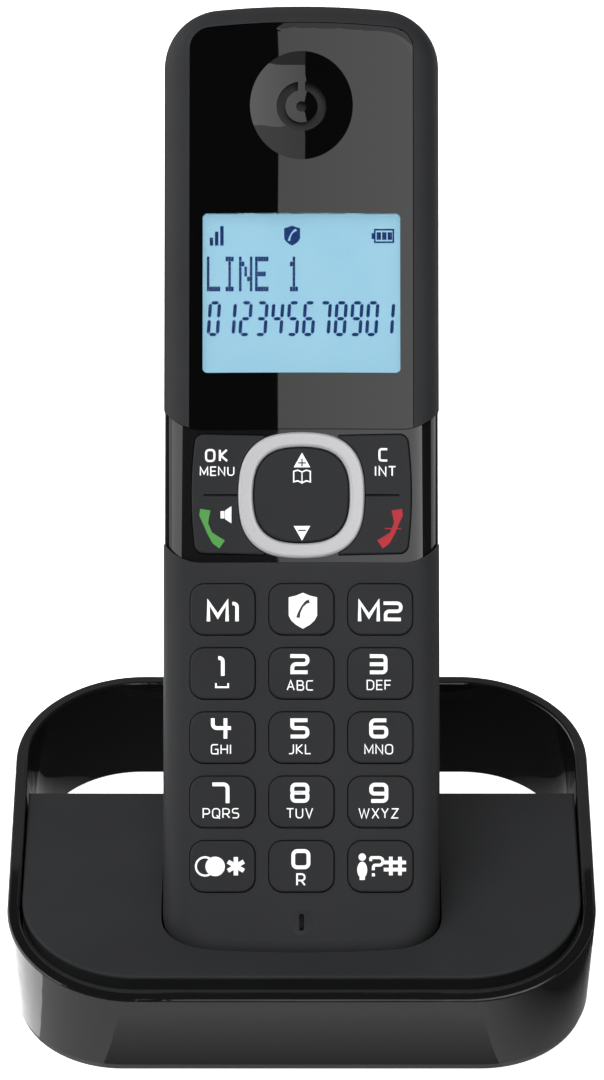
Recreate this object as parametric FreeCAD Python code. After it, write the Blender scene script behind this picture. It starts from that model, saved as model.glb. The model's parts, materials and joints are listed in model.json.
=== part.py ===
import FreeCAD, Part
import math
import os

from FreeCAD import Vector

# A cordless phone standing in its charging base, in millimetres, +Z up.
# The handset is drawn in a frame of its own: X across, Z along it from the bottom end,
# Y from the front face (0) towards the back. seat() leans it into the base.

# ---- handset, driving dimensions ----
LENGTH = 164.65
HALF_WIDTH = 23.45
THICKNESS = 25.0
END_THICKNESS_BOTTOM = 18.0
END_THICKNESS_TOP = 18.5
FLAT_BACK_START = 36.0
FLAT_BACK_END = 104.0
CROWN = 220.0
FRONT_ROUND = 5.0
BACK_ROUND = 7.0
TOP_ARC = 165.0
TOP_CORNER = 10.0
BOTTOM_CORNER = 9.5
BOTTOM_RISE = 1.0
SKIN = 1.8
PART_LINE = 13.0
PART_GAP = 0.05

# ---- waist with the navigation keys ----
WAIST_BOTTOM = 68.9
WAIST_TOP = 91.65
WAIST_CORNER = 7.5
WAIST_HALF = 24.5
WAIST_SINK = 0.4
FASCIA = 0.9
NAV_Z = 80.35
RING_OUTER = 10.7
RING_INNER = 8.15
ROCKER_OUT = 18.5
ROCKER_IN = 6.4
ROCKER_ABOVE = 10.55
ROCKER_BELOW = 10.1

# ---- display, lens and earpiece ----
LENS_HALF = 18.95
LENS_TOP = 161.1
LENS_CORNER = 3.6
LENS = 1.4
LENS_DEPTH = 3.0
LENS_LEDGE = 1.2
WINDOW_HALF = 18.2
WINDOW_BOTTOM = 98.6
WINDOW_TOP = 130.2
CLEAR_WIDTH = 33.6
CLEAR_HEIGHT = 27.2
CLEAR_MIDDLE = 114.8
EAR_Z = 146.9
DISH_RADIUS = 9.3
DISH_DEPTH = 1.5
SLOT_OUTER = 4.25
SLOT_INNER = 2.75

# ---- keypad ----
KEY_WIDTH = 10.95
KEY_HEIGHT = 8.65
KEY_CORNER = 2.4
KEY_PROUD = 0.45
KEY_EDGE = 0.35
KEY_COLUMN = 13.3
KEY_ROW = 10.84
KEY_TOP_ROW = 61.0
KEY_GAP = 0.15
FLANGE_FRONT = 3.1
FLANGE_BACK = 3.9
ROCKER_FLANGE_FRONT = 3.75
ROCKER_FLANGE_BACK = 4.3
NAV_FLANGE_FRONT = 3.3
NAV_FLANGE_BACK = 4.1
STEM_END = 5.8
KEY_NAMES = [
    ["key_m1", "key_block", "key_m2"],
    ["key_1", "key_2", "key_3"],
    ["key_4", "key_5", "key_6"],
    ["key_7", "key_8", "key_9"],
    ["key_star", "key_0", "key_hash"],
]

# ---- inside the handset ----
MAT_FRONT = 4.75
MAT_BACK = 5.35
BOARD_FRONT = 7.0
BOARD_BACK = 8.2
CELL_RADIUS = 5.25
CELL_LENGTH = 44.5
CELL_DEPTH = 17.4
CELL_START = 40.5
DOOR_HALF = 15.5
DOOR_START = 36.0
DOOR_END = 90.0
DOOR_DEPTH = 23.2
CONTACT_X = 7.0
CONTACT_Y = 9.0
CONTACT_SINK = 1.2

# ---- base ----
LEAN = 42.0
BASE_HALF = 50.15
BASE_FRONT = -1.3
BASE_REAR = 80.8
RIM_Z = 20.0
DRAFT = 1.3 / 20.0
FRONT_CORNER_RIM = 23.0
FRONT_CORNER_FOOT = 18.6
REAR_CORNER_RIM = 22.3
REAR_CORNER_FOOT = 20.0
WALL = 2.2
RIM_FRONT = 17.4
RIM_MIDDLE = 19.1
RIM_REAR = 20.0
BAND_FOOT = 0.3
COVER_TOP = 1.7
PLATFORM_Z = 18.0
PLATFORM_REAR = 51.2
PLATFORM_GAP = 0.2
PLATFORM_EDGE = 0.5
GUTTER_Z = 15.0
GUTTER_STEP = 2.7
PLATFORM_TOP = 2.0
PLATFORM_SKIRT = 1.6
POCKET_GAP = 0.35
POCKET_WALL = 1.5
SEAT_Y = 7.88
SEAT_Z = 15.63
JACK_X = -34.0
LINE_X = 33.5
SOCKET_Z = 9.6
BUTTON_Z = 9.5
PIN_RADIUS = 0.8

BIG = 200.0


# ---------------------------------------------------------------- simple shapes
def box(x0, x1, y0, y1, z0, z1):
    return Part.makeBox(x1 - x0, y1 - y0, z1 - z0, Vector(x0, y0, z0))


def rod_y(x, z, radius, y0, y1):
    return Part.makeCylinder(radius, y1 - y0, Vector(x, y0, z), Vector(0, 1, 0))


def rod_z(x, y, radius, z0, z1):
    return Part.makeCylinder(radius, z1 - z0, Vector(x, y, z0))


def plate(x, z, width, height, corner, y0, y1):
    """A rounded rectangle on the handset's face, cut from depth y0 to y1."""
    block = box(x - width / 2, x + width / 2, y0, y1, z - height / 2, z + height / 2)
    edges = [edge for edge in block.Edges if abs(edge.tangentAt(edge.FirstParameter).y) > 0.99]
    return block.makeFillet(corner, edges)


def squircle(half, y0, y1):
    """A square with full round corners, centred on the navigation key."""
    power = 2.0 / 2.7
    points = []
    for step in range(24):
        turn = math.radians(15 * step + 7.5)
        across = math.copysign(abs(math.cos(turn)) ** power, math.cos(turn))
        along = math.copysign(abs(math.sin(turn)) ** power, math.sin(turn))
        points.append(Vector(half * across, y0, NAV_Z + half * along))
    curve = Part.BSplineCurve()
    curve.interpolate(points, PeriodicFlag=True)
    face = Part.Face(Part.Wire([curve.toShape()]))
    return face.extrude(Vector(0, y1 - y0, 0))


def crown(grow):
    """Everything behind the handset's gently crowned front, grown outward."""
    return Part.makeCylinder(CROWN + grow, LENGTH + 60, Vector(0, CROWN, -30))


def front_face(shape):
    """The face that looks furthest forward."""
    return min(shape.Faces, key=lambda face: face.CenterOfMass.y)


def ease_front(shape, radius):
    return shape.makeFillet(radius, front_face(shape).Edges)


def fuse(pieces):
    whole = pieces[0].multiFuse(pieces[1:])
    return whole.removeSplitter()


def biggest(shape):
    return max(shape.Solids, key=lambda solid: solid.Volume)


# ---------------------------------------------------------------- the handset's form
def face_outline(grow):
    """The handset seen from the front, as a solid far deeper than the handset."""
    low = Vector(0, -5, -grow)
    high = Vector(0, -5, LENGTH + grow)
    half = HALF_WIDTH + grow
    bottom = BOTTOM_RISE - grow
    top = LENGTH - TOP_ARC + math.sqrt(TOP_ARC ** 2 - HALF_WIDTH ** 2) + grow
    corners = [
        Vector(-half, -5, bottom),
        Vector(half, -5, bottom),
        Vector(half, -5, top),
        Vector(-half, -5, top),
    ]
    wire = Part.Wire([
        Part.Arc(corners[0], low, corners[1]).toShape(),
        Part.LineSegment(corners[1], corners[2]).toShape(),
        Part.Arc(corners[2], high, corners[3]).toShape(),
        Part.LineSegment(corners[3], corners[0]).toShape(),
    ])
    solid = Part.Face(wire).extrude(Vector(0, 40, 0))
    for corner, is_top in ((TOP_CORNER, True), (BOTTOM_CORNER, False)):
        edges = []
        for edge in solid.Edges:
            middle = edge.CenterOfMass
            at_end = middle.z > LENGTH - 8 if is_top else middle.z < 8
            if at_end and abs(middle.x) > HALF_WIDTH - 3 and abs(edge.Length - 40) < 0.01:
                edges.append(edge)
        solid = solid.makeFillet(corner + grow, edges)
    return solid


def side_outline(grow):
    """The handset seen from the side: a flat back that curves in towards both ends."""
    drop_low = THICKNESS - END_THICKNESS_BOTTOM
    drop_high = THICKNESS - END_THICKNESS_TOP
    run_high = LENGTH - FLAT_BACK_END
    radius_low = (FLAT_BACK_START ** 2 + drop_low ** 2) / (2 * drop_low)
    radius_high = (run_high ** 2 + drop_high ** 2) / (2 * drop_high)
    low = -8.0
    high = LENGTH + 8.0

    def back(start, radius, z):
        return Vector(0, THICKNESS - radius + math.sqrt((radius + grow) ** 2 - (z - start) ** 2), z)

    front_low = Vector(0, -10, low)
    front_high = Vector(0, -10, high)
    flat_low = Vector(0, THICKNESS + grow, FLAT_BACK_START)
    flat_high = Vector(0, THICKNESS + grow, FLAT_BACK_END)
    end_low = back(FLAT_BACK_START, radius_low, low)
    end_high = back(FLAT_BACK_END, radius_high, high)
    middle_low = back(FLAT_BACK_START, radius_low, (low + FLAT_BACK_START) / 2)
    middle_high = back(FLAT_BACK_END, radius_high, (high + FLAT_BACK_END) / 2)
    wire = Part.Wire([
        Part.LineSegment(front_low, end_low).toShape(),
        Part.Arc(end_low, middle_low, flat_low).toShape(),
        Part.LineSegment(flat_low, flat_high).toShape(),
        Part.Arc(flat_high, middle_high, end_high).toShape(),
        Part.LineSegment(end_high, front_high).toShape(),
        Part.LineSegment(front_high, front_low).toShape(),
    ])
    face = Part.Face(wire)
    face.translate(Vector(-40, 0, 0))
    return face.extrude(Vector(80, 0, 0))


def is_wall(face):
    u0, u1, v0, v1 = face.ParameterRange
    return abs(face.normalAt((u0 + u1) / 2, (v0 + v1) / 2).y) < 0.2


def touches(edge, faces):
    return any(edge.isSame(other) for face in faces for other in face.Edges)


BODY_CACHE = {}


def body(grow):
    """The whole handset as one solid, its surface moved outward by grow."""
    if grow in BODY_CACHE:
        return BODY_CACHE[grow]
    solid = face_outline(grow).common(crown(grow))
    solid = solid.common(side_outline(grow)).removeSplitter()
    solid = solid.makeFillet(FRONT_ROUND + grow, front_face(solid).Edges)
    walls = [face for face in solid.Faces if is_wall(face)]
    backs = [face for face in solid.Faces if not is_wall(face) and face.CenterOfMass.y > 15]
    rims = [edge for edge in solid.Edges if touches(edge, walls) and touches(edge, backs)]
    solid = solid.makeFillet(BACK_ROUND + grow, rims)
    BODY_CACHE[grow] = solid
    return solid


def skin(outer, inner):
    return body(outer).cut(body(inner))


def above_waist_line(height, gap=0.0):
    """Everything above a line that is straight in the middle and turns up at both sides."""
    middle = (height + gap + BIG) / 2
    return plate(0, middle, 2 * WAIST_HALF, BIG - height - gap, WAIST_CORNER, -5, 40)


def waist_zone(gap):
    return above_waist_line(WAIST_BOTTOM, gap).cut(above_waist_line(WAIST_TOP, -gap))


def front_half():
    return box(-40, 40, -10, PART_LINE - PART_GAP, -20, BIG)


def back_half():
    return box(-40, 40, PART_LINE + PART_GAP, 40, -20, BIG)


# ---------------------------------------------------------------- keys
def key_places():
    for row, names in enumerate(KEY_NAMES):
        for column, name in enumerate(names):
            yield name, (column - 1) * KEY_COLUMN, KEY_TOP_ROW - row * KEY_ROW


def number_key(x, z):
    cap = plate(x, z, KEY_WIDTH, KEY_HEIGHT, KEY_CORNER, -3, FLANGE_FRONT).common(crown(KEY_PROUD))
    cap = ease_front(cap, KEY_EDGE)
    flange = plate(x, z, KEY_WIDTH + 0.9, KEY_HEIGHT + 0.9, KEY_CORNER, FLANGE_FRONT, FLANGE_BACK)
    stem = rod_y(x, z, 1.6, FLANGE_BACK, STEM_END)
    return fuse([cap, flange, stem])


def rocker_outline(side, gap, y0, y1):
    """A key beside the ring: bowed on the outside, hollowed by the ring on the inside."""
    top = NAV_Z + ROCKER_ABOVE + gap
    bottom = NAV_Z - ROCKER_BELOW - gap
    out = side * (ROCKER_OUT - 0.6 + gap)
    bow = side * (ROCKER_OUT + 0.1 + gap)
    inside = side * (ROCKER_IN - gap)
    corners = [Vector(inside, y0, bottom), Vector(out, y0, bottom + 0.3)]
    corners += [Vector(out, y0, top - 0.1), Vector(inside, y0, top - 0.4)]
    wire = Part.Wire([
        Part.LineSegment(corners[0], corners[1]).toShape(),
        Part.Arc(corners[1], Vector(bow, y0, NAV_Z), corners[2]).toShape(),
        Part.LineSegment(corners[2], corners[3]).toShape(),
        Part.LineSegment(corners[3], corners[0]).toShape(),
    ])
    block = Part.Face(wire).extrude(Vector(0, y1 - y0, 0))
    outer = []
    for edge in block.Edges:
        along_y = abs(edge.Length - (y1 - y0)) < 0.01 and abs(edge.tangentAt(edge.FirstParameter).y) > 0.99
        if along_y and abs(edge.CenterOfMass.x) > 15:
            outer.append(edge)
    block = block.makeFillet(1.5 + gap, outer)
    return block.cut(squircle(RING_OUTER + KEY_GAP - gap, y0 - 1, y1 + 1))


def rocker_key(side):
    cap = biggest(rocker_outline(side, 0, -3, ROCKER_FLANGE_FRONT).common(crown(-0.05)))
    outer = [edge for edge in front_face(cap).Edges if abs(edge.CenterOfMass.x) > RING_OUTER + 0.5]
    cap = cap.makeFillet(KEY_EDGE, outer)
    groove = plate(side * 13.4, NAV_Z, 6.4, 0.45, 0.2, -3, 1.25)
    flange = plate(side * 15.6, NAV_Z, 6.8, 20.0, 1.0, ROCKER_FLANGE_FRONT, ROCKER_FLANGE_BACK)
    stems = [rod_y(side * 14.5, NAV_Z + reach, 1.5, ROCKER_FLANGE_BACK, STEM_END) for reach in (-6, 6)]
    return fuse([cap.cut(groove), flange] + stems)


def nav_key():
    cap = squircle(RING_INNER - KEY_GAP, -3, NAV_FLANGE_FRONT).common(crown(0.1))
    cap = ease_front(cap, 0.4)
    flange = squircle(RING_INNER + 0.7, NAV_FLANGE_FRONT, NAV_FLANGE_BACK)
    stems = [rod_y(0, NAV_Z + reach, 1.5, NAV_FLANGE_BACK, STEM_END) for reach in (-5, 5)]
    return fuse([cap, flange] + stems)


def stem_places():
    places = [(x, z) for name, x, z in key_places()]
    places += [(side * 14.5, NAV_Z + reach) for side in (-1, 1) for reach in (-6, 6)]
    places += [(0, NAV_Z + reach) for reach in (-5, 5)]
    return places


# ---------------------------------------------------------------- handset covers
def lens_outline(gap, y0, y1):
    """The lens seen from the front; its top edge runs along the arc of the handset's top."""
    half = LENS_HALF + gap
    radius = TOP_ARC - LENGTH + LENS_TOP + gap
    shape = box(-half, half, y0, y1, WAIST_TOP - 10, LENS_TOP + 5)
    shape = shape.common(rod_y(0, LENGTH - TOP_ARC, radius, y0, y1))
    corners = []
    for edge in shape.Edges:
        if edge.BoundBox.ZMin > LENS_TOP - 5 and abs(edge.Length - (y1 - y0)) < 0.001:
            corners.append(edge)
    return shape.makeFillet(LENS_CORNER + gap, corners).common(above_waist_line(WAIST_TOP))


def front_housing():
    waist = waist_zone(0)
    waist_wall = skin(-1.35, -2.45).common(waist_zone(-1.5))
    cover = skin(0, -SKIN).cut(waist).fuse(waist_wall)
    cover = cover.cut(lens_outline(0.15, -5, LENS_DEPTH + 0.1).cut(body(-LENS - 0.1)))
    cover = cover.fuse(skin(-LENS - 0.1, -2.6).common(lens_outline(LENS_LEDGE, -5, 10)))
    cuts = [plate(x, z, KEY_WIDTH + 2 * KEY_GAP, KEY_HEIGHT + 2 * KEY_GAP, KEY_CORNER + KEY_GAP, -3, 8)
            for name, x, z in key_places()]
    cuts += [rocker_outline(side, KEY_GAP, -3, 8) for side in (-1, 1)]
    cuts.append(squircle(RING_INNER, -3, 8))
    window_height = WINDOW_TOP - WINDOW_BOTTOM
    window_middle = (WINDOW_TOP + WINDOW_BOTTOM) / 2
    cuts.append(plate(0, window_middle, 2 * WINDOW_HALF, window_height, 1.0, -3, 8))
    cuts.append(rod_y(0, EAR_Z, DISH_RADIUS + 1.6, -3, 8))
    cuts.append(plate(0, 8.25, 0.9, 2.9, 0.44, -3, 8))
    cuts.append(Part.makeSphere(12.0, Vector(0, -11.8, 8.25)))
    for side in (-1, 1):
        cuts.append(box(side * CONTACT_X - 2.5, side * CONTACT_X + 2.5, CONTACT_Y - 2.5, CONTACT_Y + 2.5,
                        -3, CONTACT_SINK + 0.3))
    cover = cover.common(front_half())
    for cut in cuts:
        cover = cover.cut(cut)
    return biggest(cover)


def clear_area():
    return plate(0, CLEAR_MIDDLE, CLEAR_WIDTH, CLEAR_HEIGHT, 0.85, -5, LENS_DEPTH)


def display_window():
    """The clear shot of the two-shot lens, in front of the display."""
    return skin(0, -LENS).common(clear_area())


def display_lens():
    """The black shot of the lens, with the earpiece dish and its C-shaped slot."""
    lens = skin(0, -LENS).common(lens_outline(0, -5, LENS_DEPTH)).cut(clear_area())
    boss = rod_y(0, EAR_Z, DISH_RADIUS + 1.3, 1.0, 3.0)
    lens = lens.fuse(boss)
    ball = (DISH_RADIUS ** 2 + DISH_DEPTH ** 2) / (2 * DISH_DEPTH)
    lens = lens.cut(Part.makeSphere(ball, Vector(0, DISH_DEPTH - ball, EAR_Z)))
    slot = rod_y(0, EAR_Z, SLOT_OUTER, -3, 5).cut(rod_y(0, EAR_Z, SLOT_INNER, -3, 5))
    bridge = box(-0.6, 0.6, -3, 5, EAR_Z, EAR_Z + 10)
    lens = lens.cut(slot.cut(bridge)).cut(rod_y(0, EAR_Z, 0.9, -3, 5))
    return biggest(lens)


def waist_fascia():
    fascia = skin(-WAIST_SINK, -WAIST_SINK - FASCIA).common(waist_zone(0.08)).common(front_half())
    fascia = fascia.cut(squircle(RING_OUTER + 0.03, -3, 8))
    for side in (-1, 1):
        fascia = fascia.cut(rocker_outline(side, KEY_GAP, -3, 8))
    return fascia


def nav_ring():
    ring = squircle(RING_OUTER, -3, 6).cut(squircle(RING_INNER, -4, 7))
    ring = ring.common(crown(0.25)).cut(crown(-1.33))
    return ease_front(ring, 0.6)


def tray():
    """The box that holds the cells, open to the back, with a rim for the door to close on."""
    start = CELL_START - 3.2
    end = CELL_START + CELL_LENGTH + 3.2
    outside = box(-12.6, 12.6, 10.9, DOOR_DEPTH - 0.1, start, end)
    rim = box(-DOOR_HALF - 1.8, DOOR_HALF + 1.8, DOOR_DEPTH - 1.1, DOOR_DEPTH - 0.1, DOOR_START - 1.8,
              DOOR_END + 1.8)
    hollow = box(-11.4, 11.4, CELL_DEPTH - CELL_RADIUS - 0.2, 40, start + 1.2, end - 1.2)
    return outside.fuse(rim).cut(hollow)


def screw_places():
    return [(x, z) for x in (-15.5, 15.5) for z in (27.0, 147.0)]


def back_shell():
    shell = skin(0, -SKIN).common(back_half())
    inner = body(-SKIN + 0.2).common(back_half())
    posts = [rod_y(x, z, 2.9, PART_LINE + 0.4, 24).common(inner) for x, z in screw_places()]
    shell = fuse([shell] + posts)
    door_middle = (DOOR_START + DOOR_END) / 2
    door_height = DOOR_END - DOOR_START
    shell = shell.cut(plate(0, door_middle, 2 * DOOR_HALF + 0.5, door_height + 0.5, 3.2, 15, 40))
    shell = shell.fuse(tray())
    for x, z in screw_places():
        shell = shell.cut(rod_y(x, z, 1.95, 17.2, 40)).cut(rod_y(x, z, 1.0, 5, 20))
    for row in range(5):
        shell = shell.cut(plate(0, 111.5 + 2.6 * row, 15.0 - 1.2 * abs(row - 2), 1.0, 0.45, 20, 40))
    return biggest(shell)


def battery_door():
    door_middle = (DOOR_START + DOOR_END) / 2
    door_height = DOOR_END - DOOR_START
    door = body(0).common(plate(0, door_middle, 2 * DOOR_HALF, door_height, 3.0, DOOR_DEPTH, 40))
    for row in range(4):
        rib = plate(0, DOOR_END - 5 - 1.6 * row, 12, 0.7, 0.3, THICKNESS - 0.3, 40)
        door = door.cut(rib)
    return door


# ---------------------------------------------------------------- inside the handset
def keypad_mat():
    mat = plate(0, 52.5, 38.0, 82.0, 3.0, MAT_FRONT, MAT_BACK)
    for x, z in stem_places():
        mat = mat.cut(rod_y(x, z, 2.1, 0, 10))
    return mat


def snap_domes():
    return [rod_y(x, z, 2.0, BOARD_FRONT - 0.35, BOARD_FRONT) for x, z in stem_places()]


def handset_board():
    board = plate(0, 79.0, 39.0, 148.0, 4.0, BOARD_FRONT, BOARD_BACK)
    notches = [box(side * 20.5 - 3, side * 20.5 + 3, 5, 10, 20, 34) for side in (-1, 1)]
    return board.cut(notches[0]).cut(notches[1])


def battery_cell(side):
    x = side * (CELL_RADIUS + 0.25)
    can = rod_z(x, CELL_DEPTH, CELL_RADIUS, CELL_START, CELL_START + CELL_LENGTH - 1.0)
    nub_z = CELL_START + CELL_LENGTH - 1.0
    nub = rod_z(x, CELL_DEPTH, 1.9, nub_z, nub_z + 1.0)
    cell = can.fuse(nub)
    if side > 0:
        cell.rotate(Vector(x, CELL_DEPTH, CELL_START + CELL_LENGTH / 2), Vector(0, 1, 0), 180)
    return cell


def battery_contacts():
    contacts = []
    for side in (-1, 1):
        x = side * (CELL_RADIUS + 0.25)
        for z in (CELL_START - 1.4, CELL_START + CELL_LENGTH + 0.4):
            contacts.append(box(x - 3.6, x + 3.6, CELL_DEPTH - 4, CELL_DEPTH + 4, z, z + 0.4))
    return contacts


def handset_screws():
    return [rod_y(x, z, 1.75, 17.2, 18.4).fuse(rod_y(x, z, 0.85, 10.0, 17.2)) for x, z in screw_places()]


def charge_pads():
    pads = []
    for side in (-1, 1):
        x = side * CONTACT_X
        low = CONTACT_Y - 2.3
        pads.append(box(x - 2.3, x + 2.3, low, low + 4.6, CONTACT_SINK, CONTACT_SINK + 0.3))
    return pads


# ---------------------------------------------------------------- base
def corner_radius(z, rim, foot):
    return foot + (rim - foot) * z / RIM_Z


def base_outline(inset, z, step):
    """The base seen from above at height z, its front moved back by step. It widens towards the rim."""
    front_corner = corner_radius(z, FRONT_CORNER_RIM, FRONT_CORNER_FOOT) - inset
    rear_corner = corner_radius(z, REAR_CORNER_RIM, REAR_CORNER_FOOT) - inset
    inset = inset + (RIM_Z - z) * DRAFT
    half = BASE_HALF - inset
    front = BASE_FRONT + inset + step
    rear = BASE_REAR - inset
    edges = []
    places = [(1, front, 1), (1, rear, -1), (-1, rear, -1), (-1, front, 1)]
    previous = Vector(-half + front_corner, front, z)
    for side, y, way in places:
        corner = front_corner if way > 0 else rear_corner
        turn = corner * (1 - math.sqrt(0.5))
        flat = Vector(side * (half - corner), y, z)
        upright = Vector(side * half, y + way * corner, z)
        middle = Vector(side * (half - turn), y + way * turn, z)
        first, last = (flat, upright) if (side > 0) == (way > 0) else (upright, flat)
        if (first - previous).Length > 0.001:
            edges.append(Part.LineSegment(previous, first).toShape())
        edges.append(Part.Arc(first, middle, last).toShape())
        previous = last
    return Part.Wire(edges)


def base_block(inset, low, high, step=0.0):
    return Part.makeLoft([base_outline(inset, low, step), base_outline(inset, high, step)], True, True)


def under_rim():
    """Everything below the rim's gentle arch, seen from the side."""
    start = Vector(-60, BASE_FRONT, RIM_FRONT)
    middle = Vector(-60, (BASE_FRONT + BASE_REAR) / 2, RIM_MIDDLE)
    end = Vector(-60, BASE_REAR, RIM_REAR)
    low_front = Vector(-60, BASE_FRONT, -5)
    low_rear = Vector(-60, BASE_REAR, -5)
    wire = Part.Wire([
        Part.Arc(start, middle, end).toShape(),
        Part.LineSegment(end, low_rear).toShape(),
        Part.LineSegment(low_rear, low_front).toShape(),
        Part.LineSegment(low_front, start).toShape(),
    ])
    return Part.Face(wire).extrude(Vector(120, 0, 0))


def base_band():
    band = base_block(0, BAND_FOOT, 26).cut(base_block(WALL, BAND_FOOT - 0.1, 26.1))
    band = band.common(under_rim())
    rim = [edge for edge in band.Edges if edge.BoundBox.ZMin > RIM_FRONT - 0.5]
    band = band.makeFillet(0.5, rim)
    return band.cut(box(-60, 60, -10, PLATFORM_REAR + 1.5, -1, COVER_TOP + 0.05))


def in_front_of(y):
    return box(-60, 60, -20, y, -5, 60)


def base_posts():
    return [(x, y) for x in (-43.0, 43.0) for y in (16.0, 44.0)]


def cradle_platform():
    inset = WALL + PLATFORM_GAP
    lower = base_block(inset, COVER_TOP + 0.05, GUTTER_Z)
    upper = base_block(inset, GUTTER_Z - 1, PLATFORM_Z, GUTTER_STEP)
    upper = upper.common(in_front_of(PLATFORM_REAR))
    top_edges = [edge for edge in upper.Edges if edge.BoundBox.ZMin > PLATFORM_Z - 0.01]
    upper = upper.makeFillet(PLATFORM_EDGE, top_edges)
    block = lower.common(in_front_of(PLATFORM_REAR)).fuse(upper)
    hollow = base_block(inset + PLATFORM_SKIRT, COVER_TOP - 0.1, GUTTER_Z - PLATFORM_TOP)
    high_hollow = base_block(inset + PLATFORM_SKIRT, COVER_TOP, PLATFORM_Z - PLATFORM_TOP, GUTTER_STEP)
    hollow = hollow.fuse(high_hollow).common(in_front_of(PLATFORM_REAR - PLATFORM_SKIRT))
    shell = block.cut(hollow)
    low = box(-60, 60, -20, 100, COVER_TOP + 0.1, PLATFORM_Z - 0.5)
    liner = seat(body(POCKET_GAP + POCKET_WALL)).common(low).common(block)
    posts = [rod_z(x, y, 2.6, COVER_TOP + 0.05, PLATFORM_Z - 1) for x, y in base_posts()]
    shell = fuse([shell, liner] + posts)
    shell = shell.cut(seat(body(POCKET_GAP)))
    for x, y in base_posts():
        shell = shell.cut(rod_z(x, y, 1.05, 0, 11))
    for side in (-1, 1):
        shell = shell.cut(seat(rod_z(side * CONTACT_X, CONTACT_Y, PIN_RADIUS + 0.3, -6, 3)))
    jack = box(JACK_X - 4.7, JACK_X + 4.7, 45, 60, SOCKET_Z - 5.2, SOCKET_Z + 5.2)
    line = box(LINE_X - 6.2, LINE_X + 6.2, 45, 60, SOCKET_Z - 5.2, SOCKET_Z + 5.2)
    button = rod_y(0, BUTTON_Z, 3.5, 40, 60)
    for cut in (jack, line, button):
        shell = shell.cut(cut)
    return biggest(shell)


def bottom_cover():
    cover = base_block(0.45, BAND_FOOT, COVER_TOP).common(in_front_of(PLATFORM_REAR + 1.4))
    for x, y in base_posts():
        cover = cover.cut(rod_z(x, y, 1.05, -1, 5)).cut(rod_z(x, y, 2.0, -1, 1.4))
    for x, y in foot_places():
        cover = cover.cut(rod_z(x, y, 4.1, -1, 1.0))
    for row in range(4):
        cover = cover.cut(box(-12, 12, 20 + 5 * row, 22 + 5 * row, -1, 5))
    return cover


def foot_places():
    return [(x, y) for x in (-33.0, 33.0) for y in (10.0, 36.0)]


def rubber_feet():
    feet = [rod_z(x, y, 4.0, 0, 1.0) for x, y in foot_places()]
    wall = BASE_REAR - RIM_Z * DRAFT
    for side in (-1, 1):
        feet.append(box(side * 20 - 5, side * 20 + 5, wall - 1.9, wall - 0.4, 0, BAND_FOOT))
    return feet


def base_screws():
    return [rod_z(x, y, 1.8, 0.5, 1.4).fuse(rod_z(x, y, 0.9, 1.4, 9)) for x, y in base_posts()]


def power_socket():
    body_block = box(JACK_X - 4.5, JACK_X + 4.5, 38.5, PLATFORM_REAR, SOCKET_Z - 5, SOCKET_Z + 5)
    bore = rod_y(JACK_X, SOCKET_Z, 3.0, PLATFORM_REAR - 8.5, PLATFORM_REAR + 1)
    pin = rod_y(JACK_X, SOCKET_Z, 0.95, PLATFORM_REAR - 9.0, PLATFORM_REAR - 1.0)
    return body_block.cut(bore).fuse(pin)


def line_socket():
    block = box(LINE_X - 6.0, LINE_X + 6.0, 37.5, PLATFORM_REAR, SOCKET_Z - 5, SOCKET_Z + 5)
    mouth = box(LINE_X - 4.9, LINE_X + 4.9, PLATFORM_REAR - 9.5, 60, SOCKET_Z - 2.6, SOCKET_Z + 3.8)
    latch = box(LINE_X - 2.0, LINE_X + 2.0, PLATFORM_REAR - 9.5, 60, SOCKET_Z - 4.0, SOCKET_Z)
    wires = [box(LINE_X + x - 0.2, LINE_X + x + 0.2, 41, PLATFORM_REAR - 1.5, SOCKET_Z + 3.2, SOCKET_Z + 3.8)
             for x in (-1.5, -0.5, 0.5, 1.5)]
    return fuse([block.cut(mouth).cut(latch)] + wires)


def base_board():
    board = box(-44.0, 44.0, 29.0, 48.0, 3.3, 4.5)
    for x, y in base_posts():
        board = board.cut(rod_z(x, y, 3.0, 0, 10))
    return board


def base_antenna():
    mast = box(14, 15, 44, 44.6, 4.5, 10)
    arm = box(15, 24, 44, 44.6, 9.0, 10)
    return mast.fuse(arm)


def page_button():
    start = PLATFORM_REAR - 3.1
    cap = rod_y(0, BUTTON_Z, 3.2, start, start + 4.0)
    edge = [item for item in cap.Edges if item.BoundBox.YMin > start + 3.9]
    collar = rod_y(0, BUTTON_Z, 4.0, start, start + 0.8)
    return cap.makeFillet(0.4, edge).fuse(collar)


def page_switch():
    front = PLATFORM_REAR - 4.7
    case = box(-3, 3, front - 3.7, front, 4.5, 12.5)
    return case.fuse(rod_y(0, BUTTON_Z, 1.2, front, front + 0.4))


def charge_pin(side):
    pin = rod_z(side * CONTACT_X, CONTACT_Y, PIN_RADIUS, -6.2, CONTACT_SINK - 0.15)
    tip = [edge for edge in pin.Edges if edge.BoundBox.ZMin > 0.5]
    return seat(pin.makeFillet(0.4, tip))


def contact_carrier():
    block = box(-10, 10, CONTACT_Y - 2.5, CONTACT_Y + 2.5, -5.4, -POCKET_GAP - POCKET_WALL - 0.1)
    for side in (-1, 1):
        block = block.cut(rod_z(side * CONTACT_X, CONTACT_Y, PIN_RADIUS + 0.3, -8, 3))
    return seat(block)


def seat(shape):
    """Lean a shape from the handset's own frame into the cradle."""
    placed = shape.copy()
    lean = FreeCAD.Placement(Vector(0, SEAT_Y, SEAT_Z), FreeCAD.Rotation(Vector(1, 0, 0), -LEAN))
    placed.Placement = lean.multiply(placed.Placement)
    return placed


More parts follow.
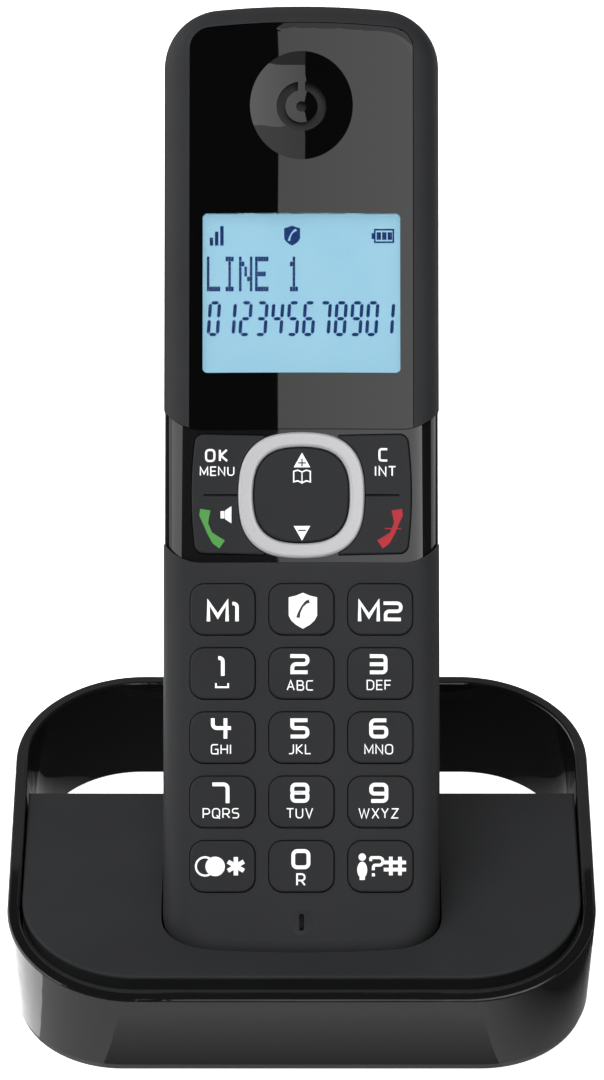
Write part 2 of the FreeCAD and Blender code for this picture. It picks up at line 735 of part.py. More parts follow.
# ---------------------------------------------------------------- all nodes
def handset_nodes():
    nodes = {
        "handset_front_housing": front_housing(),
        "display_lens": display_lens(),
        "display_window": display_window(),
        "waist_fascia": waist_fascia(),
        "nav_ring": nav_ring(),
        "handset_back_shell": back_shell(),
        "battery_door": battery_door(),
        "nav_key": nav_key(),
        "left_rocker_key": rocker_key(-1),
        "right_rocker_key": rocker_key(1),
        "keypad_mat": keypad_mat(),
        "snap_domes": Part.makeCompound(snap_domes()),
        "handset_circuit_board": handset_board(),
        "lcd_panel": box(-17.9, 17.9, 2.35, 4.2, WINDOW_BOTTOM + 0.3, WINDOW_TOP - 0.3),
        "lcd_backlight": box(-17.9, 17.9, 4.2, BOARD_FRONT, WINDOW_BOTTOM + 0.3, WINDOW_TOP - 0.3),
        "earpiece_mesh": rod_y(0, EAR_Z, 5.2, 3.0, 3.2),
        "earpiece_receiver": rod_y(0, EAR_Z, 6.5, 3.2, 6.6),
        "microphone_capsule": rod_y(0, 9.5, 2.0, 2.6, BOARD_FRONT),
        "loudspeaker": rod_y(0, 116.7, 9.5, 17.5, 21.9),
        "radio_shield": box(-14, 14, BOARD_BACK, BOARD_BACK + 2.4, 98, 128),
        "battery_cell_left": battery_cell(-1),
        "battery_cell_right": battery_cell(1),
        "battery_contacts": Part.makeCompound(battery_contacts()),
        "handset_screws": Part.makeCompound(handset_screws()),
        "handset_charge_pads": Part.makeCompound(charge_pads()),
    }
    for name, x, z in key_places():
        nodes[name] = number_key(x, z)
    return {name: seat(shape) for name, shape in nodes.items()}


def base_nodes():
    return {
        "base_band": base_band(),
        "cradle_platform": cradle_platform(),
        "base_bottom_cover": bottom_cover(),
        "rubber_feet": Part.makeCompound(rubber_feet()),
        "base_screws": Part.makeCompound(base_screws()),
        "power_socket": power_socket(),
        "line_socket": line_socket(),
        "base_circuit_board": base_board(),
        "base_radio_shield": box(-26, -8, 33.5, 45, 4.5, 6.6),
        "base_antenna": base_antenna(),
        "page_button": page_button(),
        "page_switch": page_switch(),
        "contact_carrier": contact_carrier(),
        "charge_pin_left": charge_pin(-1),
        "charge_pin_right": charge_pin(1),
    }


def all_nodes():
    """Every node, moved so that the origin is under the middle of the whole phone."""
    nodes = dict(handset_nodes())
    nodes.update(base_nodes())
    whole = FreeCAD.BoundBox()
    for shape in nodes.values():
        whole.add(shape.optimalBoundingBox(False))
    shift = Vector(-whole.Center.x, -whole.Center.y, -whole.ZMin)
    for shape in nodes.values():
        shape.translate(shift)
    return nodes, shift


def main():
    os.makedirs("parts", exist_ok=True)
    nodes, shift = all_nodes()
    for name, shape in nodes.items():
        shape.exportStep("parts/" + name + ".step")
        print(name, len(shape.Solids), round(shape.Volume, 1), shape.isValid())
    print("shift", shift)


if __name__ == "__main__":
    main()
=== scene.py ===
import json
import math

import bmesh
import bpy
from mathutils import Matrix, Vector

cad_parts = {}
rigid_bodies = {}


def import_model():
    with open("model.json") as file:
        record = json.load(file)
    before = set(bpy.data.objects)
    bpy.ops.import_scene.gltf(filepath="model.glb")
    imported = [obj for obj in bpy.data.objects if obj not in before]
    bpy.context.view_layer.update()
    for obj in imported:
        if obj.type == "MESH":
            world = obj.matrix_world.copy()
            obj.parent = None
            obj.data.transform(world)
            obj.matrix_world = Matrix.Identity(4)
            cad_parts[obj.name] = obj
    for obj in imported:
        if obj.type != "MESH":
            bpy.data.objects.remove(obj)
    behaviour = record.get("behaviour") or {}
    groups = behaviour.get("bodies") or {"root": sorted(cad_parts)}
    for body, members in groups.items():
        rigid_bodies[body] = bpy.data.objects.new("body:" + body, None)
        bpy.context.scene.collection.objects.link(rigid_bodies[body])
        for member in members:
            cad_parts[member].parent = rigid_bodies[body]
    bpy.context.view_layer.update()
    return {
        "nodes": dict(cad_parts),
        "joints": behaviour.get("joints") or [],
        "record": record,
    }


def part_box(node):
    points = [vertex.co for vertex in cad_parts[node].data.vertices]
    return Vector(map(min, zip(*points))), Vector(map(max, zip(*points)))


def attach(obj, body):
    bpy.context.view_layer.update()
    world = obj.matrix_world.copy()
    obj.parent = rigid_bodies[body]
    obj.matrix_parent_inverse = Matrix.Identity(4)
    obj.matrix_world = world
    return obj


# The looks of a cordless phone standing in its base. The handset's own frame has X across,
# Z along it from its bottom end, and depth from the front face inward, in millimetres.

for leftover in list(bpy.data.objects):
    bpy.data.objects.remove(leftover)

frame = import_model()
NODES = frame["nodes"]
JOINTS = {joint["name"]: joint for joint in frame["joints"]}
MM = 0.001

# ---- the handset's frame, from its joints ----
ALONG = Vector(JOINTS["handset_lift"]["axis"])
INWARD = Vector(JOINTS["battery_door_off"]["axis"])
ACROSS = Vector((1, 0, 0))
NAV_Z = 80.35
NAV_PIVOT_DEPTH = 1.0
HANDSET_END = Vector(JOINTS["nav_key_rock"]["pos_m"]) - (ALONG * NAV_Z + INWARD * NAV_PIVOT_DEPTH) * MM

# The glossy band leans out, so its foot is this much behind its rim.
BAND_LEAN = 1.1
BASE_FRONT_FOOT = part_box("base_band")[0].y + BAND_LEAN * MM
BASE_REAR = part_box("base_band")[1].y

# The front's crown radius, how proud of it the keys stand, and where the display lies.
CROWN = 220.0
KEY_PROUD = 0.45
NAV_PROUD = 0.1
ROCKER_PROUD = -0.05
LCD_DEPTH = 2.35
LCD_TOP = 128.6


def on_handset(x, z, depth):
    return HANDSET_END + (ACROSS * x + ALONG * z + INWARD * depth) * MM


def crown_depth(x, proud):
    """How deep the crowned front, grown outward by proud, lies at x."""
    return CROWN - math.sqrt((CROWN + proud) ** 2 - x * x)


# ---------------------------------------------------------------- material helpers
class Shade:
    """One material and the few node steps that the surfaces here share."""

    def __init__(self, name):
        self.material = bpy.data.materials.new(name)
        self.material.use_nodes = True
        self.tree = self.material.node_tree
        self.shader = self.tree.nodes["Principled BSDF"]
        self.place = self.node("ShaderNodeTexCoord").outputs["Object"]

    def node(self, kind, **settings):
        made = self.tree.nodes.new(kind)
        for key, value in settings.items():
            setattr(made, key, value)
        return made

    def link(self, source, target):
        self.tree.links.new(source, target)

    def set(self, **values):
        for key, value in values.items():
            self.shader.inputs[key.replace("_", " ")].default_value = value
        return self

    def noise(self, size_mm, detail=3.0, stretch=(1, 1, 1)):
        """Noise whose spots are about size_mm across, from 0 to 1."""
        made = self.node("ShaderNodeTexNoise")
        made.inputs["Scale"].default_value = 1.0 / (size_mm * MM)
        made.inputs["Detail"].default_value = detail
        if stretch == (1, 1, 1):
            self.link(self.place, made.inputs["Vector"])
        else:
            mapping = self.node("ShaderNodeMapping")
            mapping.inputs["Scale"].default_value = stretch
            self.link(self.place, mapping.inputs["Vector"])
            self.link(mapping.outputs["Vector"], made.inputs["Vector"])
        return made.outputs["Fac"]

    def spread(self, source, low, high, start=0.3, end=0.7):
        """Map a 0 to 1 value to a range."""
        made = self.node("ShaderNodeMapRange")
        made.inputs["From Min"].default_value = start
        made.inputs["From Max"].default_value = end
        made.inputs["To Min"].default_value = low
        made.inputs["To Max"].default_value = high
        self.link(source, made.inputs["Value"])
        return made.outputs["Result"]

    def mix(self, fraction, first, second):
        made = self.node("ShaderNodeMix", data_type="RGBA")
        self.link(fraction, made.inputs["Factor"])
        for socket, value in ((made.inputs["A"], first), (made.inputs["B"], second)):
            if isinstance(value, tuple):
                socket.default_value = (*value, 1.0)
            else:
                self.link(value, socket)
        return made.outputs["Result"]

    def edge(self, radius_mm):
        """0 on flat stretches, towards 1 along sharp edges."""
        bevel = self.node("ShaderNodeBevel", samples=4)
        bevel.inputs["Radius"].default_value = radius_mm * MM
        geometry = self.node("ShaderNodeNewGeometry")
        dot = self.node("ShaderNodeVectorMath", operation="DOT_PRODUCT")
        self.link(bevel.outputs["Normal"], dot.inputs[0])
        self.link(geometry.outputs["Normal"], dot.inputs[1])
        return self.spread(dot.outputs["Value"], 1.0, 0.0, 0.9, 1.0)

    def bump(self, height, strength, distance_mm, onto=None):
        made = self.node("ShaderNodeBump")
        made.inputs["Strength"].default_value = strength
        made.inputs["Distance"].default_value = distance_mm * MM
        self.link(height, made.inputs["Height"])
        if onto is not None:
            self.link(onto, made.inputs["Normal"])
        return made.outputs["Normal"]

    def finish(self, colour=None, roughness=None, normal=None):
        for name, source in (("Base Color", colour), ("Roughness", roughness), ("Normal", normal)):
            if source is not None:
                self.link(source, self.shader.inputs[name])
        return self.material


def moulded(name, colour, wear_and_highlight, roughness, grain_mm=0.18, grain=0.25, specular=0.5):
    """Injection-moulded plastic: spark-eroded grain, faint cloudiness, sharp edges lightened as a
    painted highlight.
    """
    shade = Shade(name).set(Specular_IOR_Level=specular)
    cloud = shade.noise(14.0, 2.0)
    fine = shade.noise(grain_mm, 2.0)
    soft = tuple(channel * 1.12 for channel in colour)
    base = shade.mix(shade.spread(cloud, 0.0, 1.0), colour, soft)
    # Sharp edges are mixed towards the lighter edge colour, a painted highlight along them.
    base = shade.mix(shade.edge(0.25), base, wear_and_highlight)
    rough = shade.spread(fine, roughness - 0.05, roughness + 0.07)
    return shade.finish(base, rough, shade.bump(fine, grain, 0.012))


def glossy(name, colour, roughness=0.03, swirl=0.02, specular=0.5):
    """Polished black plastic: nearly smooth, with fine wiping marks that only show in the gloss."""
    shade = Shade(name).set(Specular_IOR_Level=specular)
    wipe = shade.noise(3.0, 6.0, (1.0, 0.15, 0.4))
    dust = shade.noise(0.5, 3.0)
    dusty = tuple(channel * 1.3 for channel in colour)
    base = shade.mix(shade.spread(dust, 0.0, 1.0, 0.45, 0.9), colour, dusty)
    rough = shade.spread(wipe, roughness, roughness + swirl)
    wave = shade.noise(9.0, 1.0)
    return shade.finish(base, rough, shade.bump(wave, 0.03, 0.01))


def satin_metal(name, colour, roughness=0.3, brush=(1.0, 1.0, 12.0), size=0.6, metallic=1.0):
    """Plated or bead-blasted metal with a faint grain."""
    shade = Shade(name).set(Metallic=metallic)
    grain = shade.noise(size, 4.0, brush)
    shaded = tuple(channel * 0.9 for channel in colour)
    base = shade.mix(shade.spread(grain, 0.0, 1.0), shaded, colour)
    rough = shade.spread(grain, roughness - 0.06, roughness + 0.08)
    return shade.finish(base, rough, shade.bump(shade.noise(0.12, 2.0), 0.15, 0.004))


def rubbery(name, colour):
    """Moulded rubber or silicone: dull, with a fine uneven skin."""
    shade = Shade(name).set(Specular_IOR_Level=0.3)
    fine = shade.noise(0.3, 3.0)
    wear_and_highlight = tuple(channel * 1.25 for channel in colour)
    base = shade.mix(shade.spread(shade.noise(2.5), 0.0, 1.0), colour, wear_and_highlight)
    return shade.finish(base, shade.spread(fine, 0.7, 0.9), shade.bump(fine, 0.4, 0.02))


def ink(name, colour, glow=0.0, specular=0.35):
    """Screen-printed ink: slightly uneven cover and a soft sheen."""
    shade = Shade(name).set(Specular_IOR_Level=specular)
    patch = shade.noise(0.25, 2.0)
    thin = tuple(channel * 0.93 for channel in colour)
    base = shade.mix(shade.spread(patch, 0.0, 1.0), thin, colour)
    if glow:
        shade.set(Emission_Color=(*colour, 1.0), Emission_Strength=glow)
    return shade.finish(base, shade.spread(patch, 0.4, 0.5), shade.bump(patch, 0.1, 0.004))


def circuit_board(name):
    """Green solder mask over copper tracks."""
    shade = Shade(name).set(Specular_IOR_Level=0.5)
    cells = shade.node("ShaderNodeTexVoronoi", distance="MANHATTAN", feature="DISTANCE_TO_EDGE")
    cells.inputs["Scale"].default_value = 1.0 / (2.6 * MM)
    shade.link(shade.place, cells.inputs["Vector"])
    tracks = shade.spread(cells.outputs["Distance"], 1.0, 0.0, 0.05, 0.09)
    base = shade.mix(tracks, (0.012, 0.10, 0.045), (0.03, 0.2, 0.09))
    raised = shade.bump(tracks, 0.3, 0.03)
    return shade.finish(base, shade.spread(shade.noise(1.0), 0.25, 0.4), raised)


def lcd_backing(name):
    """The lit display: pale blue, a touch lighter in soft patches."""
    shade = Shade(name)
    pale = (0.305, 0.62, 0.79)
    lighter = (0.42, 0.72, 0.84)
    cloud = shade.spread(shade.noise(6.0, 1.0), 0.0, 0.25)
    base = shade.mix(cloud, pale, lighter)
    # The glow stands for the backlight and, as painted light, also for the lamp light that the clear
    # pane holds back.
    shade.link(base, shade.shader.inputs["Emission Color"])
    shade.set(Emission_Strength=0.74, Roughness=0.5, Specular_IOR_Level=0.2)
    shade.shader.inputs["Base Color"].default_value = (0.04, 0.07, 0.09, 1.0)
    fine = shade.noise(0.2, 1.0)
    return shade.finish(None, shade.spread(fine, 0.4, 0.6), shade.bump(fine, 0.05, 0.003))


def clear_pane(name):
    """Clear acrylic over the display, with faint wiping marks."""
    shade = Shade(name).set(Transmission_Weight=1.0, IOR=1.01, Specular_IOR_Level=0.1)
    shade.shader.inputs["Base Color"].default_value = (0.985, 0.99, 1.0, 1.0)
    shade.set(Coat_Weight=0.04, Coat_Roughness=0.02)
    wipe = shade.noise(3.0, 4.0, (1.0, 0.15, 0.4))
    wave = shade.bump(shade.noise(9.0, 1.0), 0.03, 0.005)
    return shade.finish(None, shade.spread(wipe, 0.0, 0.01), wave)


def cell_wrap(name):
    """Shrink film on a rechargeable cell: green with plain pale rings."""
    shade = Shade(name).set(Specular_IOR_Level=0.5)
    split = shade.node("ShaderNodeVectorMath", operation="DOT_PRODUCT")
    shade.link(shade.place, split.inputs[0])
    split.inputs[1].default_value = ALONG
    ring = shade.node("ShaderNodeMath", operation="SINE")
    scaled = shade.node("ShaderNodeMath", operation="MULTIPLY")
    scaled.inputs[1].default_value = 140.0
    shade.link(split.outputs["Value"], scaled.inputs[0])
    shade.link(scaled.outputs[0], ring.inputs[0])
    banded = shade.spread(ring.outputs[0], 0.0, 1.0, 0.75, 0.8)
    base = shade.mix(banded, (0.03, 0.2, 0.09), (0.5, 0.52, 0.5))
    crinkle = shade.bump(shade.noise(4.0), 0.2, 0.03)
    return shade.finish(base, shade.spread(shade.noise(1.5), 0.25, 0.4), crinkle)


# The third colour given to moulded() is the painted highlight on sharp edges.
MATERIALS = {
    "black_plastic": moulded("housing_black", (0.0175, 0.018, 0.019), (0.028, 0.028, 0.03), 0.55,
                             specular=0.14),
    "key_plastic": moulded("key_black", (0.0155, 0.016, 0.017), (0.026, 0.026, 0.028), 0.5,
                           0.14, 0.2, 0.14),
    "lens_black": glossy("lens_black", (0.0012, 0.0012, 0.0014), 0.012, 0.008),
    "gloss_black": glossy("gloss_black", (0.0055, 0.0055, 0.0058), 0.02, 0.012),
    "satin_silver": satin_metal("satin_silver", (0.42, 0.42, 0.43), 0.42, (1, 1, 1), 0.2, 0.3),
    "silicone": rubbery("silicone_grey", (0.10, 0.10, 0.11)),
    "steel": satin_metal("steel", (0.62, 0.61, 0.60), 0.28),
    "board_green": circuit_board("board_green"),
    "lcd_glass": lcd_backing("lcd_lit"),
    "clear_window": clear_pane("clear_pane"),
    "white_plastic": moulded("white_plastic", (0.75, 0.77, 0.78), (0.8, 0.8, 0.8), 0.4),
    "dark_metal": satin_metal("dark_mesh", (0.02, 0.02, 0.021), 0.5, metallic=0.4),
    "tin": satin_metal("tin_plate", (0.66, 0.66, 0.64), 0.34),
    "cell_wrap": cell_wrap("cell_wrap"),
    "gold": satin_metal("gold_plate", (0.9, 0.66, 0.28), 0.22),
    "rubber_grey": rubbery("rubber_feet", (0.05, 0.05, 0.052)),
    "socket_plastic": moulded("socket_black", (0.014, 0.014, 0.015), (0.03, 0.03, 0.03), 0.35),
}
# The white legends get a faint glow: painted light, as print gives off none.
WHITE_INK = ink("legend_white", (0.88, 0.89, 0.9), 0.06)
GREEN_INK = ink("legend_green", (0.055, 0.24, 0.045))
RED_INK = ink("legend_red", (0.33, 0.008, 0.018))
DARK_INK = ink("legend_dark", (0.02, 0.02, 0.022))
# The display ink glows a little too, partly painted light like the display behind it.
LCD_INK = ink("display_blue", (0.001, 0.016, 0.08), 0.2, 0.05)

# The bottom cover is moulded in a lighter grey than the housings.
COVER_PLASTIC = moulded("cover_grey", (0.05, 0.05, 0.052), (0.07, 0.07, 0.072), 0.5, specular=0.2)

for entry in frame["record"]["subparts"]:
    node = NODES[entry["node"]]
    for index in range(len(node.material_slots)):
        node.material_slots[index].link = "OBJECT"
        node.material_slots[index].material = MATERIALS[entry["material_slot"]]
for slot in NODES["base_bottom_cover"].material_slots:
    slot.material = COVER_PLASTIC


# ---------------------------------------------------------------- flat drawing
CORNER_STEPS = 6
LONGEST_MITRE = 0.45


def rounded(corners, closed=False):
    """Corners as (x, y) or (x, y, radius), turned into a line with its corners rounded."""
    line = []
    count = len(corners)
    for index, corner in enumerate(corners):
        radius = corner[2] if len(corner) > 2 else 0.0
        here = Vector(corner[:2])
        at_end = not closed and index in (0, count - 1)
        if radius == 0.0 or at_end:
            line.append(here)
            continue
        before = (Vector(corners[index - 1][:2]) - here).normalized()
        after = (Vector(corners[(index + 1) % count][:2]) - here).normalized()
        half = before.angle(after) / 2
        reach = radius / math.tan(half)
        centre = here + (before + after).normalized() * radius / math.sin(half)
        first = here + before * reach - centre
        last = here + after * reach - centre
        turn = first.angle_signed(last)
        for step in range(CORNER_STEPS + 1):
            rotated = first.copy()
            rotated.rotate(Matrix.Rotation(-turn * step / CORNER_STEPS, 2))
            line.append(centre + rotated)
    return line


def ribbon(line, width, closed=False):
    """A line given width, as a list of four-cornered pieces with mitred joints."""
    count = len(line)
    sides = []
    for index, point in enumerate(line):
        before = line[index - 1] if closed or index > 0 else None
        after = line[(index + 1) % count] if closed or index < count - 1 else None
        into = (point - before).normalized() if before is not None else (after - point).normalized()
        out = (after - point).normalized() if after is not None else into
        half = width[index] / 2 if isinstance(width, list) else width / 2
        normal = Vector((-(into + out).y, (into + out).x))
        normal = normal.normalized() if normal.length > 1e-6 else Vector((-into.y, into.x))
        stretch = 1.0 / max(LONGEST_MITRE, normal.dot(Vector((-into.y, into.x))))
        sides.append((point + normal * half * stretch, point - normal * half * stretch))
    pieces = []
    for index in range(count if closed else count - 1):
        (left, right), (next_left, next_right) = sides[index], sides[(index + 1) % count]
        pieces.append([left, next_left, next_right, right])
    return pieces


def disc(x, y, radius, squash=1.0, steps=28):
    turns = [2 * math.pi * step / steps for step in range(steps)]
    return [[Vector((x + radius * math.cos(turn), y + radius * squash * math.sin(turn)))
             for turn in turns]]


def slab(x0, x1, y0, y1):
    return [[Vector((x0, y0)), Vector((x1, y0)), Vector((x1, y1)), Vector((x0, y1))]]


def moved(shapes, x, y, scale=1.0):
    return [[Vector((x + point.x * scale, y + point.y * scale)) for point in shape]
            for shape in shapes]


def area(shape):
    total = 0.0
    for index, point in enumerate(shape):
        other = shape[(index + 1) % len(shape)]
        total += point.x * other.y - other.x * point.y
    return total


def printed(name, shapes, body, material, place, lift=0.02, sink=0.04):
    """A thin solid print: flat shapes put onto a surface by place(x, z, height)."""
    mesh = bpy.data.meshes.new(name)
    work = bmesh.new()
    for shape in shapes:
        if area(shape) < 0:
            shape = shape[::-1]
        work.faces.new([work.verts.new((point.x, point.y, lift)) for point in shape])
    bmesh.ops.remove_doubles(work, verts=work.verts[:], dist=1e-5)
    bmesh.ops.triangulate(work, faces=[face for face in work.faces if len(face.verts) > 4])
    under = bmesh.ops.extrude_face_region(work, geom=work.faces[:], use_keep_orig=True)
    for item in under["geom"]:
        if isinstance(item, bmesh.types.BMVert):
            item.co.z = -sink
    bmesh.ops.recalc_face_normals(work, faces=work.faces[:])
    for vert in work.verts:
        vert.co = place(vert.co.x, vert.co.y, vert.co.z)
    work.to_mesh(mesh)
    work.free()
    mesh.materials.append(material)
    piece = bpy.data.objects.new(name, mesh)
    bpy.context.scene.collection.objects.link(piece)
    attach(piece, body)


def on_crown(proud):
    return lambda x, z, height: on_handset(x, z, crown_depth(x, proud) - height)


def on_lcd(x, z, height):
    return on_handset(x, z, LCD_DEPTH - height)


# ---------------------------------------------------------------- lettering, drawn with strokes
# Each letter is a list of strokes. A stroke is a line of corners, (x, y) or (x, y, radius) in grid
# units from the letter's lower left, and whether the line closes on itself.
BOLD = {
    "0": [([(0, 0, 4), (0, 16, 4), (15, 16, 4), (15, 0, 4)], True)],
    "1": [([(-4, 15.6), (0.5, 15.6, 3.5), (0.5, -2)], False)],
    "2": [([(-2, 16), (15, 16, 3.6), (15, 8, 3.6), (0, 8, 3.6), (0, 0), (15, 0)], False)],
    "3": [([(-1, 16), (14.5, 16, 3.4), (14.5, 0, 3.4), (-1, 0)], False), ([(-1, 8), (14, 8)], False)],
    "4": [([(0, 18), (0, 8.4, 4), (18, 8.4)], False), ([(12.5, 18), (12.5, -2)], False)],
    "5": [([(15, 16), (0, 16), (0, 8.3, 2.6), (15, 8.3, 3.6), (15, 0, 3.6), (-1.6, 0)], False)],
    "6": [([(15, 16), (0, 16, 4), (0, 0, 3.6), (15, 0, 3.6), (15, 8.8, 3), (0, 8.8)], False)],
    "7": [([(-2, 16), (13, 16, 4), (13, -2.5)], False)],
    "8": [([(0, 8, 2.4), (0, 16, 3.4), (15, 16, 3.4), (15, 8, 2.4)], True),
          ([(0, 0, 3.4), (0, 8, 2.4), (15, 8, 2.4), (15, 0, 3.4)], True)],
    "9": [([(0, 0), (15, 0, 3.6), (15, 16, 3.6), (0, 16, 3.6), (0, 7.2, 3), (15, 7.2)], False)],
    "M": [([(0, -2), (0, 17), (9.2, 3), (18.4, 17), (18.4, -2)], False)],
    "?": [([(0, 13), (0, 16.4, 1.0), (12, 16.4, 3.6), (12, 9, 3.6), (2.6, 9, 2), (2.6, 4)], False),
          ([(2.6, 1), (2.6, -2)], False)],
    "#": [([(-2, 5), (20, 5)], False), ([(-2, 12), (20, 12)], False),
          ([(5, -0.6), (5, 17.6)], False), ([(14, -0.6), (14, 17.6)], False)],
    "*": [([(8, -1), (8, 17)], False), ([(0.2, 3.5), (15.8, 12.5)], False),
          ([(0.2, 12.5), (15.8, 3.5)], False)],
}
THIN = {
    "A": [([(0, 0), (3.4, 9.4), (6.8, 0)], False), ([(1.3, 3), (5.5, 3)], False)],
    "B": [([(0, 0), (0, 9), (5.6, 9, 1.8), (5.6, 4.8, 1.8), (0, 4.8)], False),
          ([(4.0, 4.8), (6.2, 4.8, 2), (6.2, 0, 2), (0, 0)], False)],
    "C": [([(6.2, 9), (0, 9, 2), (0, 0, 2), (6.2, 0)], False)],
    "D": [([(0, 0), (0, 9), (6.4, 9, 3), (6.4, 0, 3), (0, 0)], False)],
    "E": [([(5.6, 9), (0, 9), (0, 0), (5.6, 0)], False), ([(0, 4.5), (5.1, 4.5)], False)],
    "F": [([(5.6, 9), (0, 9), (0, 0)], False), ([(0, 4.5), (5.1, 4.5)], False)],
    "G": [([(6.4, 9), (0, 9, 2), (0, 0, 2), (6.4, 0), (6.4, 4.4), (3.4, 4.4)], False)],
    "H": [([(0, 0), (0, 9)], False), ([(6.2, 0), (6.2, 9)], False), ([(0, 4.5), (6.2, 4.5)], False)],
    "I": [([(0, 0), (0, 9)], False)],
    "J": [([(4.2, 9), (4.2, 0, 2), (0, 0)], False)],
    "K": [([(0, 0), (0, 9)], False), ([(5.6, 9), (0.6, 4.5), (5.9, 0)], False)],
    "L": [([(0, 9), (0, 0), (5.0, 0)], False)],
    "M": [([(0, 0), (0, 9), (3.9, 1.6), (7.8, 9), (7.8, 0)], False)],
    "N": [([(0, 0), (0, 9), (6.4, 0), (6.4, 9)], False)],
    "O": [([(0, 0, 2.6), (0, 9, 2.6), (6.8, 9, 2.6), (6.8, 0, 2.6)], True)],
    "P": [([(0, 0), (0, 9), (6.2, 9, 2.4), (6.2, 3.8, 2.4), (0, 3.8)], False)],
    "Q": [([(0, 0, 2.6), (0, 9, 2.6), (6.8, 9, 2.6), (6.8, 0, 2.6)], True),
          ([(4.0, 2.6), (7.2, -0.9)], False)],
    "R": [([(0, 0), (0, 9), (6.2, 9, 2.4), (6.2, 3.8, 2.4), (0, 3.8)], False),
          ([(3.4, 3.8), (6.4, 0)], False)],
    "S": [([(5.8, 9), (0, 9, 2), (0, 4.7, 2), (6.0, 4.7, 2), (6.0, 0, 2), (0, 0)], False)],
    "T": [([(0, 9), (6.8, 9)], False), ([(3.4, 9), (3.4, 0)], False)],
    "U": [([(0, 9), (0, 0, 2.8), (6.4, 0, 2.8), (6.4, 9)], False)],
    "V": [([(0, 9.4), (3.3, 0), (6.6, 9.4)], False)],
    "W": [([(0, 9.4), (2.7, 0), (5.0, 8.4), (7.3, 0), (10.0, 9.4)], False)],
    "X": [([(0, 9.4), (6.4, -0.4)], False), ([(6.4, 9.4), (0, -0.4)], False)],
    "Y": [([(0, 9.4), (3.2, 4.4), (6.4, 9.4)], False), ([(3.2, 4.4), (3.2, 0)], False)],
    "Z": [([(0, 9), (6.2, 9), (0, 0), (6.4, 0)], False)],
}
# One unit of the lettering grid, in millimetres.
UNIT = 1 / 5.85

# How wide the strokes are, in grid units.
DIGIT_STROKE = 3.7
MEMORY_STROKE = 3.4
LETTER_STROKE = 1.12


def glyph(strokes, width):
    pieces = []
    for corners, closed in strokes:
        pieces += ribbon(rounded(corners, closed), width, closed)
    return pieces


def extent(shapes):
    xs = [point.x for shape in shapes for point in shape]
    ys = [point.y for shape in shapes for point in shape]
    return min(xs), max(xs), min(ys), max(ys)


def lettering(text, table, width, gap):
    """A line of letters set side by side, centred on its own middle, in grid units."""
    shapes = []
    pen = 0.0
    for letter in text:
        drawn = glyph(table[letter], width)
        left, right, low, high = extent(drawn)
        shapes += moved(drawn, pen - left, 0)
        pen += right - left + gap
    left, right, low, high = extent(shapes)
    return moved(shapes, -(left + right) / 2, -(low + high) / 2)


def handset_icon(lean=1):
    """A curved receiver with an ear and a mouth end, about 24 by 38 grid units."""
    bends = ((-7.6, 17), (-8.6, 11), (-7.2, 3), (-3, -7), (2.4, -13), (9, -17.6))
    line = [Vector(bend) for bend in bends]
    widths = [10.4, 9.8, 4.8, 4.6, 8.8, 9.8]
    shapes = ribbon(line, widths)
    return [[Vector((point.x * lean, point.y)) for point in shape] for shape in shapes]


def shield_icon():
    """A shield, 28 by 36 grid units, round its own middle."""
    top = [(-14, 13), (-7, 14.6), (0, 17.5), (7, 14.6), (14, 13)]
    right = [(14, -5), (11.5, -9.8), (7, -14), (0, -18)]
    left = [(-7, -14), (-11.5, -9.8), (-14, -5)]
    return [[Vector(point) for point in top + right + left]]


def small_receiver():
    bends = ((6.4, 8.6), (3.2, 7.6), (-0.6, 3.4), (-3.6, -2.6), (-4.8, -7.8))
    line = [Vector(bend) for bend in bends]
    return ribbon(line, [3.8, 3.0, 2.0, 2.4, 3.8])


# ---------------------------------------------------------------- legends on the keys
def key_middle(node):
    """The middle of a key's node in the handset's own frame, as (x, z)."""
    low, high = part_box(node)
    middle = (low + high) / 2 - HANDSET_END
    return middle.x / MM, middle.dot(ALONG) / MM


def legend(node, suffix, shapes, dx, dz, ink_used=WHITE_INK, proud=KEY_PROUD, lift=0.02, scale=1.0):
    """A print on a key, dx and dz grid units from the key's middle."""
    x, z = key_middle(node)
    placed = moved(shapes, x + dx * UNIT, z + dz * UNIT, UNIT * scale)
    printed(node + "_" + suffix, placed, node, ink_used, on_crown(proud), lift)


KEY_LETTERS = {
    "2": "ABC", "3": "DEF", "4": "GHI", "5": "JKL", "6": "MNO", "7": "PQRS", "8": "TUV", "9": "WXYZ",
}


def digit_legends():
    for digit, letters in KEY_LETTERS.items():
        node = "key_" + digit
        legend(node, "digit", lettering(digit, BOLD, DIGIT_STROKE, 0), -1.6, 9.2)
        legend(node, "letters", lettering(letters, THIN, LETTER_STROKE, 2.0), -1.6, -11.3)
    legend("key_1", "digit", lettering("1", BOLD, DIGIT_STROKE, 0), -1.2, 7.5)
    space = ribbon(rounded([(-6, 4), (-6, 0), (6, 0), (6, 4)]), 1.7)
    legend("key_1", "space", moved(space, 0, -2), -0.6, -11.5)
    legend("key_0", "digit", lettering("0", BOLD, DIGIT_STROKE, 0), -0.6, 7.3)
    legend("key_0", "recall", lettering("R", THIN, 1.4, 0), -0.6, -12.6, scale=1.2)
    for node, text in (("key_m1", "M1"), ("key_m2", "M2")):
        legend(node, "memory", lettering(text, BOLD, MEMORY_STROKE, 3.6), 0, -0.5)


